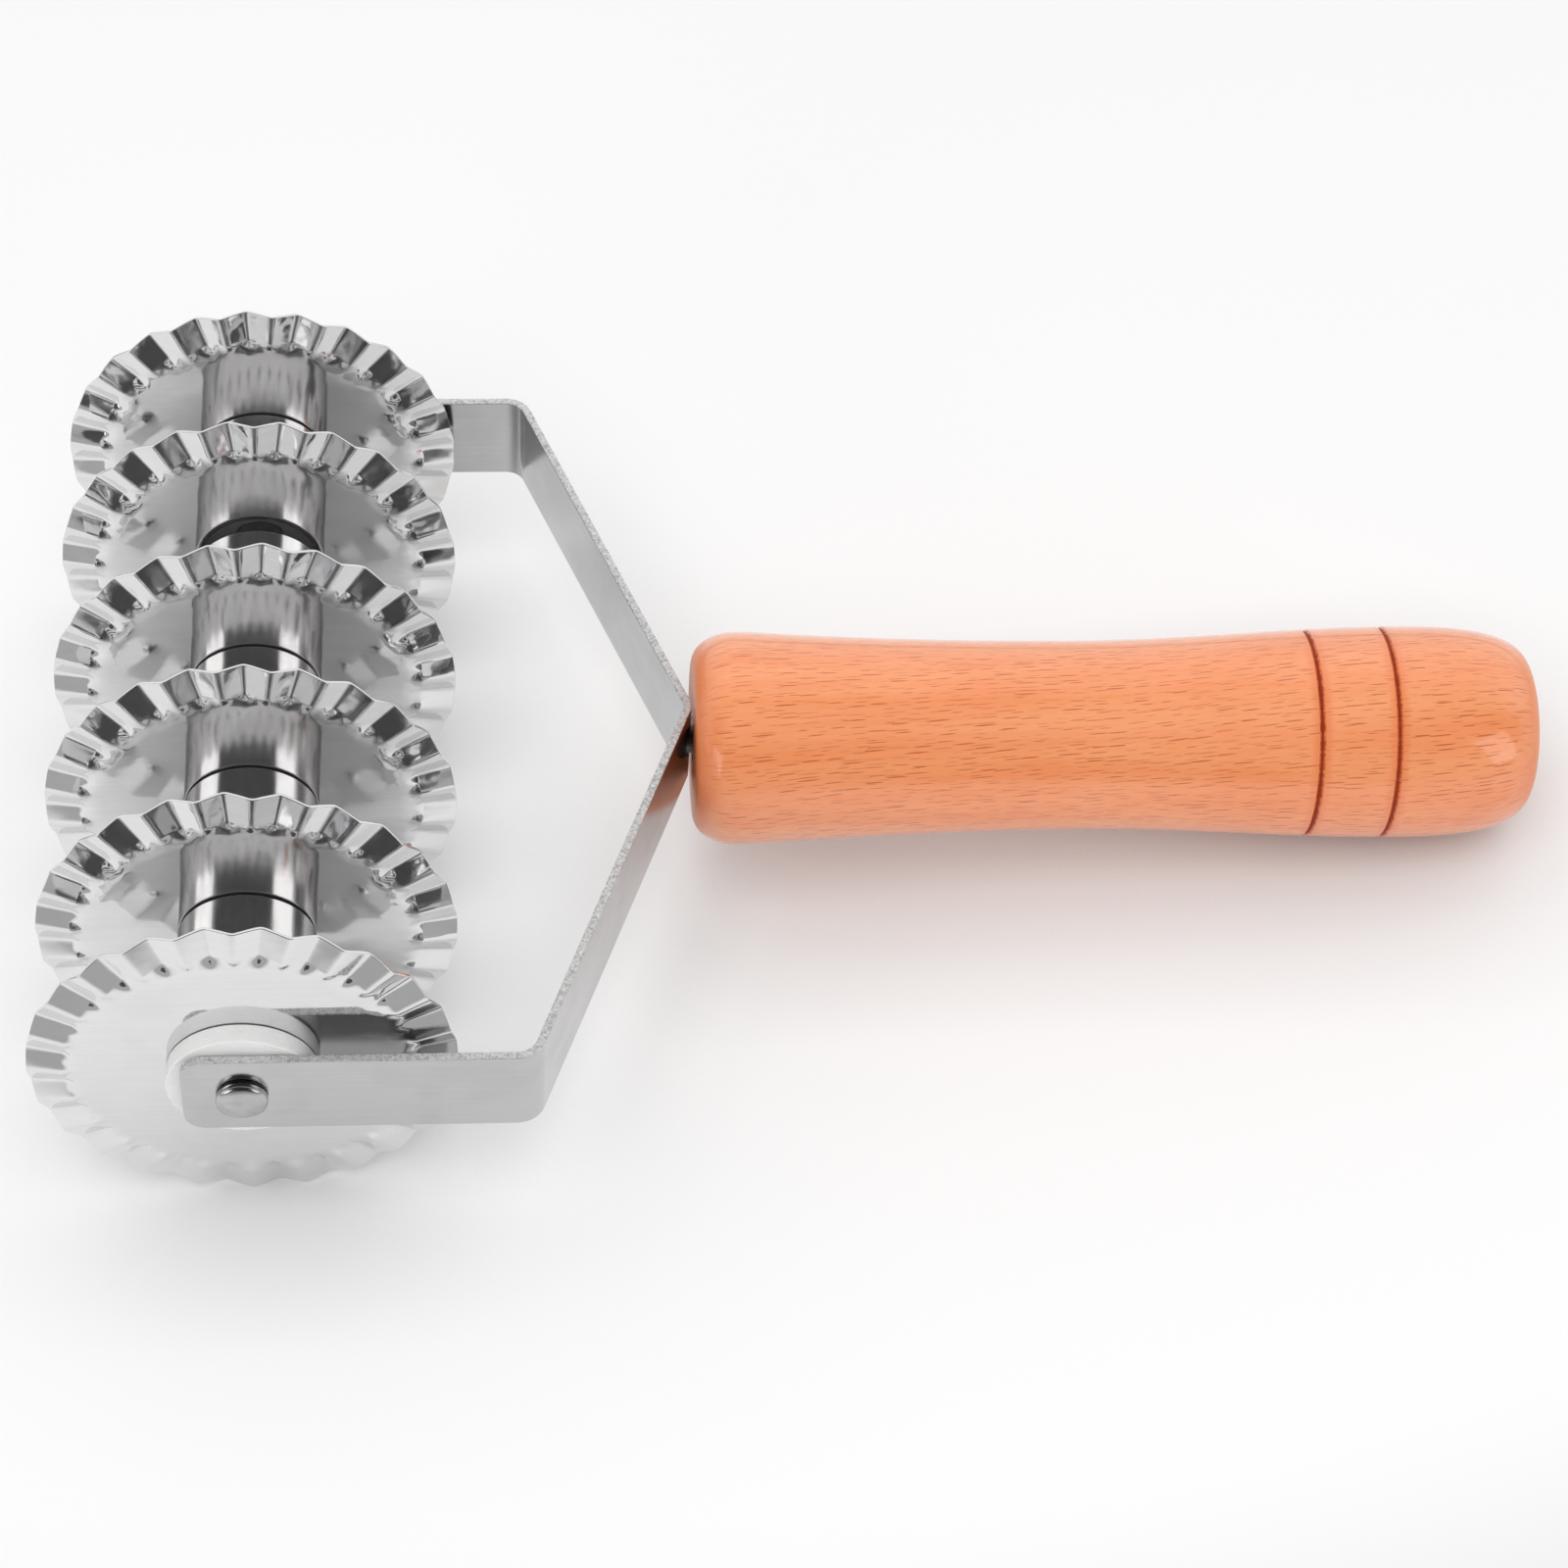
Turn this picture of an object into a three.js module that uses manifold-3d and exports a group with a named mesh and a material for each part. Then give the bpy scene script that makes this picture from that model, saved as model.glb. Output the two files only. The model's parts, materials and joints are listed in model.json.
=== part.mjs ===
// Pasta cutter: six fluted wheels on one axle, a bent strip fork and a turned beech handle.
// Millimetres, +Z up. The axle lies along Y and the handle points along +X.

import * as THREE from 'three';
import { mergeVertices } from 'three/addons/utils/BufferGeometryUtils.js';
import Module from 'manifold-3d';

// Fits
const runningClearance = 0.3;
const seatGap = 0.3;

// Axle pin with its two rivet heads
const axleRadius = 3;
const rivetLip = 0.5;
const rivetRim = 0.7;
const rivetDome = 0.9;

// Spacers: a plastic core on the axle inside a steel tube
const coreWall = 4.9;
const coreRecess = 4.5;
const tubeWall = 1;
const tubeLength = 21.3;
const tubeEdgeChamfer = 0.25;

// Cutting wheels
const wheelCount = 6;
const cuttingDepth = 19.5;
const wheelSheet = 0.6;
const fluteCount = 24;
const fluteBand = 6.5;
const fluteRunIn = 1.5;
const fluteHeight = 0.6;
const rimDish = 1;
const wheelSpin = THREE.MathUtils.degToRad(4);

// Free room along the axle, all of it in front of one wheel
const axialPlay = 1.2;
const looseWheel = 2;

// End bushes, which hold the wheel rims off the arms
const bushWall = 6.95;
const rimToArm = 1.6;
const bushEdgeChamfer = 0.4;

// Fork strip
const stripThickness = 1.2;
const stripWidth = 15;
const armTipMargin = 4.7;
const armTipCorner = 3;
const wheelToBend = 7.8;
const forkDepth = 21.7;
const bendInnerRadius = 2.8;
const apexInnerRadius = 2;

// Tang between the fork and the handle
const tenonRadius = 2;
const tangShoulder = 1;
const tangLength = 58;
const tangPoint = 4;
const tangBoreRelief = 2;

// Turned handle, as lengths along it and radii
const noseEdge = 6;
const noseRound = 4.35;
const noseStraight = 2;
const noseRadius = 15.35;
const taperLength = 48;
const waistRadius = 13.7;
const riseLength = 47;
const swellRadius = 15.4;
const tailLength = 19;
const tailShoulder = 14;
const tailCrown = 2;
const tailFlatRadius = 8;
const grooveWidth = 1.4;
const grooveDepth = 0.7;
const grooveSpacing = 11.1;
const grooveFromSwell = 2.8;

// Facets around a turn
const coarseSides = 24;
const fineSides = 36;
const handleSides = 40;
const bendSteps = 6;
const noseSteps = 7;
const gripSteps = 13;
const tailSteps = 10;
const mergeTolerance = 1e-4;

// Sizes that follow from those above
const boreRadius = axleRadius + runningClearance;
const coreRadius = boreRadius + coreWall;
const tubeInnerRadius = coreRadius + seatGap;
const tubeRadius = tubeInnerRadius + tubeWall;
const coreLength = tubeLength - 2 * coreRecess;
const wheelRadius = tubeRadius + cuttingDepth;
const fluteRootRadius = wheelRadius - fluteBand;
const bushRadius = boreRadius + bushWall;
const bushLength = rimDish + fluteHeight + rimToArm - 2 * seatGap;
const stackPieces = 2 * wheelCount + 1;
const stackLength = wheelCount * wheelSheet + (wheelCount - 1) * tubeLength + 2 * bushLength
  + (stackPieces + 1) * seatGap + axialPlay;
const armInner = stackLength / 2;
const armOuter = armInner + stripThickness;
const bendOuterRadius = bendInnerRadius + stripThickness;
const apexOuterRadius = apexInnerRadius + stripThickness;
const armTipX = -(boreRadius + armTipMargin);
const bendX = wheelRadius + wheelToBend;
const apexX = bendX + bendOuterRadius + forkDepth;
const tangRadius = tenonRadius + tangShoulder;
const tangBoreRadius = tangRadius + seatGap;
const handleX = apexX + seatGap;
const noseLength = noseEdge + noseStraight;
const handleLength = noseLength + taperLength + riseLength + tailLength;

const wasm = await Module();
wasm.setup();

// Turn a closed geometry into a solid that can be cut
function toSolid(geometry) {
  const bare = geometry.index ? geometry.toNonIndexed() : geometry.clone();
  bare.deleteAttribute('normal');
  bare.deleteAttribute('uv');
  const merged = mergeVertices(bare, mergeTolerance);
  return new wasm.Manifold(new wasm.Mesh({
    numProp: 3,
    vertProperties: new Float32Array(merged.attributes.position.array),
    triVerts: new Uint32Array(merged.index.array),
  }));
}

// Turn a cut solid back into a geometry
function toGeometry(solid) {
  const mesh = solid.getMesh();
  const geometry = new THREE.BufferGeometry();
  geometry.setAttribute('position', new THREE.BufferAttribute(mesh.vertProperties, 3));
  geometry.setIndex(new THREE.BufferAttribute(mesh.triVerts, 1));
  geometry.computeVertexNormals();
  return geometry;
}

// Lathe a profile of [radius, height] pairs about the Y axis
function turned(profile, sides) {
  return new THREE.LatheGeometry(profile.map(([r, y]) => new THREE.Vector2(r, y)), sides);
}

// Ring centred on the origin along Y, with chamfered outer edges
function ring(inner, outer, length, chamfer, sides) {
  const half = length / 2;
  return turned([
    [inner, -half],
    [outer - chamfer, -half],
    [outer, -half + chamfer],
    [outer, half - chamfer],
    [outer - chamfer, half],
    [inner, half],
    [inner, -half],
  ], sides);
}

// Thin wheel: flat centre, then a leaning band of zigzag flutes out to the rim
function flutedWheel() {
  const steps = 2 * fluteCount;
  const lean = (r) => rimDish * Math.max(0, r - fluteRootRadius) / fluteBand;
  const rings = [
    { r: boreRadius, flute: 0 },
    { r: fluteRootRadius, flute: 0 },
    { r: fluteRootRadius + fluteRunIn, flute: fluteHeight },
    { r: wheelRadius, flute: fluteHeight },
  ];
  const positions = [];
  for (const side of [-1, 1]) {
    for (const { r, flute } of rings) {
      for (let step = 0; step < steps; step += 1) {
        const angle = step * 2 * Math.PI / steps;
        const wave = step % 2 === 0 ? -flute : flute;
        const y = lean(r) + wave + side * wheelSheet / 2;
        positions.push(r * Math.sin(angle), y, r * Math.cos(angle));
      }
    }
  }
  const vertex = (side, row, step) => (side * rings.length + row) * steps + step % steps;
  const index = [];
  const quad = (a, b, c, d) => index.push(a, b, c, a, c, d);
  const last = rings.length - 1;
  for (let step = 0; step < steps; step += 1) {
    const next = step + 1;
    for (let row = 0; row < last; row += 1) {
      quad(vertex(0, row, step), vertex(0, row, next), vertex(0, row + 1, next), vertex(0, row + 1, step));
      quad(vertex(1, row, step), vertex(1, row + 1, step), vertex(1, row + 1, next), vertex(1, row, next));
    }
    quad(vertex(0, last, step), vertex(0, last, next), vertex(1, last, next), vertex(1, last, step));
    quad(vertex(0, 0, step), vertex(1, 0, step), vertex(1, 0, next), vertex(0, 0, next));
  }
  const geometry = new THREE.BufferGeometry();
  geometry.setAttribute('position', new THREE.Float32BufferAttribute(positions, 3));
  geometry.setIndex(index);
  geometry.computeVertexNormals();
  return geometry;
}

// Plain pin with a low domed rivet head outside each arm
function axlePin() {
  const under = armOuter + seatGap;
  const headRadius = axleRadius + rivetLip;
  const head = [
    [axleRadius, under],
    [headRadius, under],
    [headRadius, under + rivetRim],
  ];
  for (let step = 1; step < bendSteps; step += 1) {
    const turn = step / bendSteps * Math.PI / 2;
    head.push([headRadius * Math.cos(turn), under + rivetRim + rivetDome * Math.sin(turn)]);
  }
  head.push([0, under + rivetRim + rivetDome]);
  const foot = head.map(([r, y]) => [r, -y]).reverse();
  return turned([...foot, ...head], coarseSides);
}

// Plan outline of the bent strip, drawn once round its outside and back round its inside
function stripOutline() {
  const bendCentre = new THREE.Vector2(bendX, -(armOuter - bendOuterRadius));
  const apexCentre = new THREE.Vector2(apexX - apexOuterRadius, 0);
  const span = apexCentre.clone().sub(bendCentre);
  const slope = span.angle() - Math.acos((bendInnerRadius - apexInnerRadius) / span.length());
  const shape = new THREE.Shape();
  const arc = (x, y, r, from, to) => shape.absarc(x, y, r, from, to, from > to);
  const square = Math.PI / 2;
  shape.moveTo(armTipX, -armOuter);
  arc(bendCentre.x, bendCentre.y, bendOuterRadius, -square, slope);
  arc(apexCentre.x, 0, apexOuterRadius, slope, -slope);
  arc(bendCentre.x, -bendCentre.y, bendOuterRadius, -slope, square);
  shape.lineTo(armTipX, armOuter);
  shape.lineTo(armTipX, armInner);
  arc(bendCentre.x, -bendCentre.y, bendInnerRadius, square, -slope);
  arc(apexCentre.x, 0, apexInnerRadius, -slope, slope);
  arc(bendCentre.x, bendCentre.y, bendInnerRadius, slope, -square);
  shape.lineTo(armTipX, -armInner);
  shape.closePath();
  return shape;
}

// Side outline of the strip, with the arm tips' corners rounded
function stripSide() {
  const half = stripWidth / 2;
  const square = Math.PI / 2;
  const beyond = apexX + stripThickness;
  const shape = new THREE.Shape();
  shape.moveTo(beyond, -half);
  shape.lineTo(beyond, half);
  shape.absarc(armTipX + armTipCorner, half - armTipCorner, armTipCorner, square, 2 * square, false);
  shape.absarc(armTipX + armTipCorner, armTipCorner - half, armTipCorner, 2 * square, 3 * square, false);
  shape.closePath();
  return shape;
}

// Bent strip with a hole for the axle through both arms and one for the tang at the apex
function forkFrame() {
  const strip = new THREE.ExtrudeGeometry(stripOutline(), {
    depth: stripWidth,
    bevelEnabled: false,
    curveSegments: bendSteps,
  });
  strip.translate(0, 0, -stripWidth / 2);
  const across = 2 * (armOuter + stripThickness);
  const side = new THREE.ExtrudeGeometry(stripSide(), {
    depth: across,
    bevelEnabled: false,
    curveSegments: bendSteps,
  });
  side.rotateX(Math.PI / 2);
  side.translate(0, across / 2, 0);
  const axleHole = new THREE.CylinderGeometry(boreRadius, boreRadius, across, coarseSides);
  const tenonHoleRadius = tenonRadius + seatGap;
  const tenonHole = new THREE.CylinderGeometry(tenonHoleRadius, tenonHoleRadius, forkDepth, coarseSides);
  tenonHole.rotateZ(Math.PI / 2);
  tenonHole.translate(apexX, 0, 0);
  return toGeometry(toSolid(strip)
    .intersect(toSolid(side))
    .subtract(toSolid(axleHole))
    .subtract(toSolid(tenonHole)));
}

// Stud with a tenon that ends flush inside the strip and a pointed shank
function handleTang() {
  const shoulder = stripThickness + seatGap;
  return turned([
    [0, 0],
    [tenonRadius, 0],
    [tenonRadius, shoulder],
    [tangRadius, shoulder],
    [tangRadius, shoulder + tangLength - tangPoint],
    [0, shoulder + tangLength],
  ], coarseSides);
}

// Radius of the grip between its front and rear swells
function gripRadius(x) {
  const waistX = noseLength + taperLength;
  if (x < waistX) {
    const part = (waistX - x) / taperLength;
    return waistRadius + (noseRadius - waistRadius) * part ** 2;
  }
  const part = (x - waistX) / riseLength;
  return waistRadius + (swellRadius - waistRadius) * (1 - Math.cos(Math.PI * part)) / 2;
}

// Handle profile as [radius, distance from the front], starting and ending on the axis
function handleProfile() {
  const boreDepth = tangLength + tangBoreRelief;
  const swellX = noseLength + taperLength + riseLength;
  const profile = [[0, boreDepth], [tangBoreRadius, boreDepth], [tangBoreRadius, 0]];
  for (let step = 0; step < noseSteps; step += 1) {
    const turn = step / noseSteps * Math.PI / 2;
    profile.push([noseRadius - noseRound * (1 - Math.sin(turn)), noseEdge * (1 - Math.cos(turn))]);
  }
  const grooves = [grooveFromSwell + grooveSpacing, grooveFromSwell].map((back) => swellX - back);
  const stations = [];
  for (let step = 0; step < gripSteps; step += 1) {
    stations.push(noseLength + (taperLength + riseLength) * step / gripSteps);
  }
  const half = grooveWidth / 2;
  const grip = stations
    .filter((x) => grooves.every((groove) => Math.abs(x - groove) > grooveWidth))
    .map((x) => [gripRadius(x), x]);
  for (const groove of grooves) {
    grip.push([gripRadius(groove - half), groove - half]);
    grip.push([gripRadius(groove) - grooveDepth, groove]);
    grip.push([gripRadius(groove + half), groove + half]);
  }
  grip.sort((a, b) => a[1] - b[1]);
  profile.push(...grip);
  const tail = new THREE.CubicBezierCurve(
    new THREE.Vector2(swellRadius, swellX),
    new THREE.Vector2(swellRadius, swellX + tailShoulder),
    new THREE.Vector2(swellRadius - tailCrown, handleLength),
    new THREE.Vector2(tailFlatRadius, handleLength),
  );
  profile.push(...tail.getPoints(tailSteps).map((point) => [point.x, point.y]));
  profile.push([0, handleLength]);
  return profile;
}

// Least turn about the axle that brings the handle down onto the surface the wheels stand on
function restTilt(profile) {
  const turns = profile.map(([r, along]) => {
    const x = handleX + along;
    return Math.asin(wheelRadius / Math.hypot(x, r)) - Math.atan2(r, x);
  });
  return Math.min(...turns);
}

// Finishes
const polishedSteel = { color: 0xd6d8da, roughness: 0.16, metalness: 1 };
const satinSteel = { color: 0xcfd1d2, roughness: 0.3, metalness: 1 };
const whiteNylon = { color: 0xf1f1ec, roughness: 0.5, metalness: 0 };
const lacqueredBeech = { color: 0xe79a63, roughness: 0.4, metalness: 0 };

const tool = new THREE.Group();

// Add one named piece to the tool
function addPiece(name, geometry, finish) {
  const mesh = new THREE.Mesh(geometry, new THREE.MeshStandardMaterial(finish));
  mesh.name = name;
  tool.add(mesh);
  return mesh;
}

// Stack the turning pieces along the axle, from the far arm to the near one
let face = armInner;
function addToStack(name, geometry, length, finish) {
  const mesh = addPiece(name, geometry, finish);
  mesh.position.y = face - seatGap - length / 2;
  face -= seatGap + length;
  return mesh;
}

const bushSize = [boreRadius, bushRadius, bushLength, bushEdgeChamfer, fineSides];
const tubeSize = [tubeInnerRadius, tubeRadius, tubeLength, tubeEdgeChamfer, fineSides];
const coreSize = [boreRadius, coreRadius, coreLength, tubeEdgeChamfer, coarseSides];
addToStack('end_bush_far', ring(...bushSize), bushLength, whiteNylon);
for (let wheel = 0; wheel < wheelCount; wheel += 1) {
  const disc = addToStack(`cutting_wheel_${wheel + 1}`, flutedWheel(), wheelSheet, polishedSteel);
  disc.rotation.y = (wheelCount - 1 - wheel) * wheelSpin;
  if (wheel + 1 === looseWheel) {
    face -= axialPlay;
  }
  if (wheel < wheelCount - 1) {
    const tube = addToStack(`spacer_tube_${wheel + 1}`, ring(...tubeSize), tubeLength, polishedSteel);
    const core = addPiece(`spacer_core_${wheel + 1}`, ring(...coreSize), whiteNylon);
    core.position.y = tube.position.y;
  }
}
addToStack('end_bush_near', ring(...bushSize), bushLength, whiteNylon);

addPiece('axle_pin', axlePin(), polishedSteel);
addPiece('fork_frame', forkFrame(), satinSteel);

const profile = handleProfile();
const tang = addPiece('handle_tang', handleTang(), satinSteel);
tang.rotation.z = -Math.PI / 2;
tang.position.x = apexX - stripThickness;
const handle = addPiece('handle', turned(profile, handleSides), lacqueredBeech);
handle.rotation.z = -Math.PI / 2;
handle.position.x = handleX;

// Lay the tool on its wheels and the back of its handle, with the origin below its middle
tool.rotation.y = restTilt(profile);
const cutter = new THREE.Group();
cutter.add(tool);
cutter.updateMatrixWorld(true);
const bounds = new THREE.Box3().setFromObject(cutter, true);
const middle = bounds.getCenter(new THREE.Vector3());
tool.position.set(-middle.x, -middle.y, -bounds.min.z);

export default cutter;
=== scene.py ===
"""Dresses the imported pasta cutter: fluted wheels and tubes on an axle, a bent strip fork, a beech handle.

Each piece is modelled in the tool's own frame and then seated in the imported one. The tool's own frame
starts at the axle's middle, with X towards the handle's end, Y along the axle and Z up. Fields hold
millimetres where nothing else is said, and Bench's methods take metres.
"""

import json
import logging
import math
from collections.abc import Callable, Iterator
from contextlib import contextmanager
from dataclasses import dataclass
from enum import Enum
from functools import cache

import bmesh
import bpy
from mathutils import Euler, Matrix, Vector


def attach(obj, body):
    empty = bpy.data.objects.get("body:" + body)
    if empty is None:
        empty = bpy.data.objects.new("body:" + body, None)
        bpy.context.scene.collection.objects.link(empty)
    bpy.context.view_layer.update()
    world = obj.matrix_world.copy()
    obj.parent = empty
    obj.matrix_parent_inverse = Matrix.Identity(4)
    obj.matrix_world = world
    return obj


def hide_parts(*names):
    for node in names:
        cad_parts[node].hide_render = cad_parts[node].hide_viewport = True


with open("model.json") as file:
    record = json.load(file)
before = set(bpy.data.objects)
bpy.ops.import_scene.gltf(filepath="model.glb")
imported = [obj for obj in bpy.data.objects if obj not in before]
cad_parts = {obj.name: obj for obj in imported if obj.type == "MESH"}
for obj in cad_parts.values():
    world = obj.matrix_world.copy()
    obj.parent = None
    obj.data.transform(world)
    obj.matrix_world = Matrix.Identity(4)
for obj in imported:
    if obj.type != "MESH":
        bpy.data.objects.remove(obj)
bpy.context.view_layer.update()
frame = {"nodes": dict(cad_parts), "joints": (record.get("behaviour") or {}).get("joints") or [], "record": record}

log = logging.getLogger("pasta_cutter")

MM = 0.001
SEAM = MM / 1000
SNAP = MM / 100
FACE_WEIGHT = 80
SQUARE_ON = 0.9
IMAGE_SIDE = 1600

Piece = bpy.types.Object
Material = bpy.types.Material
Tree = bpy.types.NodeTree
Node = bpy.types.Node
Socket = bpy.types.NodeSocket
Sockets = dict[str, Socket]
Colour = tuple[float, float, float]
Triple = tuple[float, float, float]
Pair = tuple[float, float]

ORIGIN: Triple = (0.0, 0.0, 0.0)


class Axis(Enum):
    """Lines of the tool that a round piece can stand on, as the turn from upright."""

    AXLE = (math.pi / 2, 0.0, 0.0)
    HANDLE = (0.0, math.pi / 2, 0.0)


class Part(Enum):
    """Kinds of mesh part that can be selected."""

    POINT = "VERT"
    EDGE = "EDGE"
    FACE = "FACE"


class StackEnd(Enum):
    """Ends of the wheel stack, seen from the front of the tool."""

    FAR = "far"
    NEAR = "near"


class Bench:
    """Modelling steps that every piece goes through, in the tool's own frame."""

    @staticmethod
    def clear() -> None:
        """Deselect everything, CAD nodes included."""
        bpy.ops.object.select_all(action="DESELECT")

    @staticmethod
    def hold(piece: Piece) -> None:
        """Make one piece the only selected and active one.

        Args:
            piece: The piece to hold.
        """
        Bench.clear()
        piece.select_set(True)
        bpy.context.view_layer.objects.active = piece

    @staticmethod
    def settle(name: str) -> Piece:
        """Name the new piece and put its place into its mesh.

        Args:
            name: The piece's name.

        Returns:
            The piece, at the origin and unturned.
        """
        piece = bpy.context.active_object
        piece.name = name
        piece.data.name = name
        bpy.ops.object.transform_apply(location=True, rotation=True, scale=True)
        return piece

    @staticmethod
    def ring(name: str, sides: int, radius: float, axis: Axis, at: Triple, filled: bool) -> Piece:
        """Add a circle square to one of the tool's axes.

        Args:
            name: The piece's name.
            sides: Number of straight sides.
            radius: Radius in metres.
            axis: Line that the circle is square to.
            at: Middle of the circle in metres.
            filled: Whether the circle has a face.

        Returns:
            The new piece.
        """
        Bench.clear()
        bpy.ops.mesh.primitive_circle_add(
            vertices=sides,
            radius=radius,
            fill_type="NGON" if filled else "NOTHING",
            location=at,
            rotation=axis.value,
        )
        return Bench.settle(name)

    @staticmethod
    def rod(name: str, sides: int, radius: float, length: float, axis: Axis, at: Triple) -> Piece:
        """Add a closed cylinder along one of the tool's axes.

        Args:
            name: The piece's name.
            sides: Number of straight sides.
            radius: Radius in metres.
            length: Length in metres.
            axis: Line that the cylinder lies along.
            at: Middle of the cylinder in metres.

        Returns:
            The new piece.
        """
        Bench.clear()
        bpy.ops.mesh.primitive_cylinder_add(
            vertices=sides,
            radius=radius,
            depth=length,
            end_fill_type="NGON",
            location=at,
            rotation=axis.value,
        )
        return Bench.settle(name)

    @staticmethod
    @contextmanager
    def editing(piece: Piece, part: Part) -> Iterator[None]:
        """Hold a piece in edit mode.

        Args:
            piece: The piece to edit.
            part: Kind of mesh part that selections work on.

        Returns:
            A context in which the edit operators act on the piece.
        """
        Bench.hold(piece)
        bpy.ops.object.mode_set(mode="EDIT")
        bpy.ops.mesh.select_mode(type=part.value)
        try:
            yield
        finally:
            bpy.ops.object.mode_set(mode="OBJECT")

    @staticmethod
    def pick(piece: Piece, part: Part, wanted: Callable[[Vector, Vector], bool]) -> None:
        """Select the mesh parts that pass a test, and nothing else.

        Args:
            piece: The piece in edit mode.
            part: Kind of mesh part to select.
            wanted: Test of a part's middle and its normal, or an edge's direction.
        """
        bpy.ops.mesh.select_all(action="DESELECT")
        mesh = bmesh.from_edit_mesh(piece.data)
        if part is Part.POINT:
            chosen = [v for v in mesh.verts if wanted(v.co, v.normal)]
        elif part is Part.EDGE:
            chosen = [
                e for e in mesh.edges
                if wanted((e.verts[0].co + e.verts[1].co) / 2, (e.verts[1].co - e.verts[0].co).normalized())
            ]
        else:
            chosen = [f for f in mesh.faces if wanted(f.calc_center_median(), f.normal)]
        for item in chosen:
            item.select_set(True)
        mesh.select_flush_mode()
        bmesh.update_edit_mesh(piece.data)

    @staticmethod
    def pull(step: Triple = ORIGIN) -> None:
        """Extrude what is selected and move the new part."""
        bpy.ops.mesh.extrude_region_move(TRANSFORM_OT_translate={"value": step})

    @staticmethod
    def widen(factors: Triple) -> None:
        """Scale what is selected about the axle's middle."""
        bpy.ops.transform.resize(value=factors, center_override=ORIGIN)

    @staticmethod
    def swing(angle: float, middle: Triple) -> None:
        """Turn what is selected about an upright line; the operator counts the other way round."""
        bpy.ops.transform.rotate(value=-angle, orient_axis="Z", center_override=middle)

    @staticmethod
    def apply(piece: Piece, kind: str, **settings: object) -> None:
        """Add a modifier and apply it at once.

        Args:
            piece: The piece to change.
            kind: Blender's name of the modifier.
            settings: The modifier's values.
        """
        Bench.hold(piece)
        modifier = piece.modifiers.new(kind.lower(), kind)
        for key, value in settings.items():
            setattr(modifier, key, value)
        bpy.ops.object.modifier_apply(modifier=modifier.name)

    @staticmethod
    def round_edges(piece: Piece, width: float, segments: int, angle: float) -> None:
        """Ease the edges of a piece that are sharper than an angle in degrees."""
        limit = {"limit_method": "ANGLE", "angle_limit": math.radians(angle)}
        Bench.apply(piece, "BEVEL", width=width, segments=segments, **limit)

    @staticmethod
    def smooth(piece: Piece, angle: float) -> None:
        """Shade a piece smooth and keep its broad faces true.

        Args:
            piece: The piece to change.
            angle: Angle in degrees over which an edge stays sharp.
        """
        Bench.hold(piece)
        bpy.ops.object.shade_smooth_by_angle(angle=math.radians(angle))
        Bench.apply(piece, "WEIGHTED_NORMAL", keep_sharp=True, weight=FACE_WEIGHT)

    @staticmethod
    def face_outwards(piece: Piece) -> None:
        """Close seams and turn every face outwards.

        Args:
            piece: The piece to change.
        """
        with Bench.editing(piece, Part.FACE):
            bpy.ops.mesh.select_all(action="SELECT")
            bpy.ops.mesh.remove_doubles(threshold=SEAM)
            bpy.ops.mesh.normals_make_consistent(inside=False)

    @staticmethod
    def drill(piece: Piece, cutter: Piece) -> None:
        """Cut a piece with another one, which is used up."""
        Bench.apply(piece, "BOOLEAN", operation="DIFFERENCE", solver="EXACT", object=cutter)
        bpy.data.objects.remove(cutter)

    @staticmethod
    def copy(piece: Piece, name: str) -> Piece:
        """Copy a piece with a mesh of its own.

        Args:
            piece: The piece to copy.
            name: The copy's name.

        Returns:
            The copy.
        """
        Bench.hold(piece)
        bpy.ops.object.duplicate(linked=False)
        double = bpy.context.active_object
        double.name = name
        double.data.name = name
        return double


@dataclass(frozen=True)
class Placement:
    """Where the tool lies: its axle's middle and the dip of its handle."""

    axle: Vector
    tilt: float

    @classmethod
    def from_record(cls) -> "Placement":
        """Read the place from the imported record's wheel joint and handle mount.

        Returns:
            The tool's place.
        """
        x, _, z = cls.joint("wheel_1_spin")["pos_m"]
        axis = frame["record"]["mounts"][0]["axis"]
        return cls(Vector((x, 0.0, z)), math.atan2(-axis[2], axis[0]))

    @staticmethod
    def joint(name: str) -> dict:
        """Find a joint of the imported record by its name."""
        return next(joint for joint in frame["joints"] if joint["name"] == name)

    def seat(self, piece: Piece, joint: str | None = None, spin: float = 0.0, nudge: float = 0.0) -> None:
        """Move a piece from the tool's own frame to its place, inside its mesh.

        Args:
            piece: The piece, modelled about the axle's middle.
            joint: Joint whose place along the axle the piece takes.
            spin: Turn about the axle in radians.
            nudge: Further step along the axle in millimetres.
        """
        along = (self.joint(joint)["pos_m"][1] if joint else 0.0) + nudge * MM
        Bench.hold(piece)
        piece.location = self.axle + Vector((0.0, along, 0.0))
        piece.rotation_euler = (0.0, self.tilt + spin, 0.0)
        bpy.ops.object.transform_apply(location=True, rotation=True, scale=True)


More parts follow.
